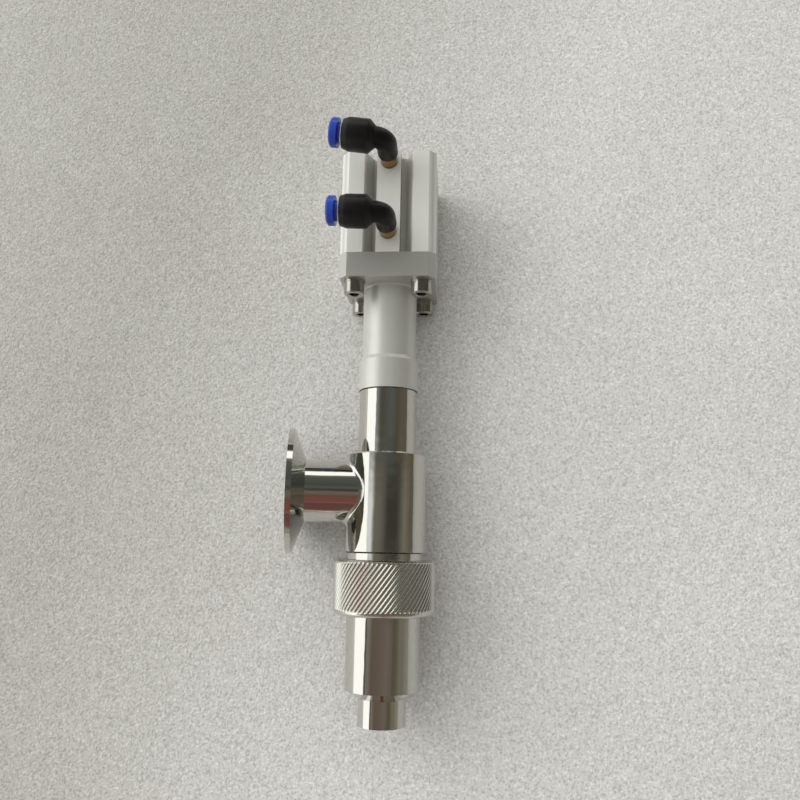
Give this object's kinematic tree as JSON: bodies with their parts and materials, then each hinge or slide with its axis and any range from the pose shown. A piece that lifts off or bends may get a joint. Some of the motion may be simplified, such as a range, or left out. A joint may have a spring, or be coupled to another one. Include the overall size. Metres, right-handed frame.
{
  "type": "anti-drip filling nozzle",
  "caption": "Upright anti-drip filling nozzle: a compact air cylinder lifts a sealed plug out of the spout, with a clamp inlet at the side, a knurled union nut and push-in air elbows.",
  "frame": {"origin": "centre of the spout's outlet, level with the spout's lower edge", "axes": "+Z along the nozzle's axis from the spout up to the air cylinder; the air ports face -Y; the product inlet points to -X, turned 9 degrees towards -Y"},
  "size_m": [0.0639, 0.065, 0.2369],
  "materials": {
    "polished_steel": "mirror-polished stainless steel",
    "satin_steel": "satin-turned stainless steel",
    "weld_bead": "smoothed weld",
    "ground_rod": "ground and plated",
    "bright_screws": "bright stainless steel",
    "spring_steel": "dark spring steel",
    "satin_aluminium": "satin anodised",
    "cover_aluminium": "turned",
    "bronze_bush": "sintered bronze",
    "white_plastic": "natural white",
    "black_rubber": "moulded",
    "clear_rubber": "moulded, translucent white",
    "elbow_brass": "turned",
    "grey_washer": "punched",
    "black_plastic": "fine moulded",
    "blue_plastic": "smooth moulded"
  },
  "bodies": {
    "valve_body": {"tee_body": "polished_steel", "inlet_pipe": "polished_steel", "inlet_weld": "weld_bead", "inlet_ferrule": "polished_steel", "guide_tube": "polished_steel", "guide_tube_seal": "black_rubber", "seal_retainer": "satin_steel", "lower_stem_seal": "white_plastic", "seal_spacer": "white_plastic", "upper_stem_seal": "white_plastic", "stem_bush": "white_plastic", "adapter_flange": "satin_aluminium", "flange_screws": "bright_screws", "spring_washers": "bright_screws", "cylinder_body": "satin_aluminium", "front_circlip": "spring_steel", "rear_circlip": "spring_steel", "front_cover": "cover_aluminium", "rear_cover": "cover_aluminium", "front_cover_seal": "black_rubber", "rear_cover_seal": "black_rubber", "rod_bush": "bronze_bush", "rod_seal": "black_rubber", "upper_port_washer": "grey_washer", "upper_elbow_stem": "elbow_brass", "upper_swivel_seal": "black_rubber", "lower_port_washer": "grey_washer", "lower_elbow_stem": "elbow_brass", "lower_swivel_seal": "black_rubber"},
    "plug_and_piston": {"piston": "cover_aluminium", "piston_seal": "black_rubber", "wear_ring": "white_plastic", "piston_nut": "satin_steel", "piston_rod": "ground_rod", "lock_nut": "satin_steel", "valve_stem": "satin_steel", "plug": "satin_steel", "plug_seal": "clear_rubber"},
    "nozzle": {"nozzle_body": "polished_steel", "nozzle_gasket": "white_plastic"},
    "union_nut": {"union_nut": "satin_steel"},
    "upper_elbow": {"upper_elbow_body": "black_plastic", "upper_tube_seal": "black_rubber", "upper_claw_ring": "spring_steel", "upper_collar_ring": "elbow_brass"},
    "lower_elbow": {"lower_elbow_body": "black_plastic", "lower_tube_seal": "black_rubber", "lower_claw_ring": "spring_steel", "lower_collar_ring": "elbow_brass"},
    "upper_release": {"upper_release_ring": "blue_plastic"},
    "lower_release": {"lower_release_ring": "blue_plastic"}
  },
  "joints": [
    {"name": "plug_lift", "type": "slide", "parent": "valve_body", "child": "plug_and_piston", "axis": [0, 0, 1], "range_m": [0, 0.015]},
    {"name": "nozzle_drop", "type": "slide", "parent": "valve_body", "child": "nozzle", "axis": [0, 0, -1], "range_m": [0, 0.01125]},
    {"name": "union_nut_turn", "type": "hinge", "parent": "nozzle", "child": "union_nut", "pos_m": [0, 0, 0.0531], "axis": [0, 0, -1], "range_deg": [0, 2701]},
    {"name": "upper_elbow_swivel", "type": "hinge", "parent": "valve_body", "child": "upper_elbow", "pos_m": [0, -0.02, 0.2281], "axis": [0, 1, 0], "continuous": true},
    {"name": "upper_release_push", "type": "slide", "parent": "upper_elbow", "child": "upper_release", "axis": [0.9903, 0, -0.1392], "range_m": [0, 0.0015], "stiffness_N_per_m": 1500, "springref_m": -0.0005},
    {"name": "lower_elbow_swivel", "type": "hinge", "parent": "valve_body", "child": "lower_elbow", "pos_m": [0, -0.02, 0.1968], "axis": [0, 1, 0], "continuous": true},
    {"name": "lower_release_push", "type": "slide", "parent": "lower_elbow", "child": "lower_release", "axis": [0.9994, 0, -0.0349], "range_m": [0, 0.0015], "stiffness_N_per_m": 1500, "springref_m": -0.0005}
  ],
  "couplings": [
    {"joint": "union_nut_turn", "follows": "nozzle_drop", "rad_per_m": 4188.8}
  ]
}
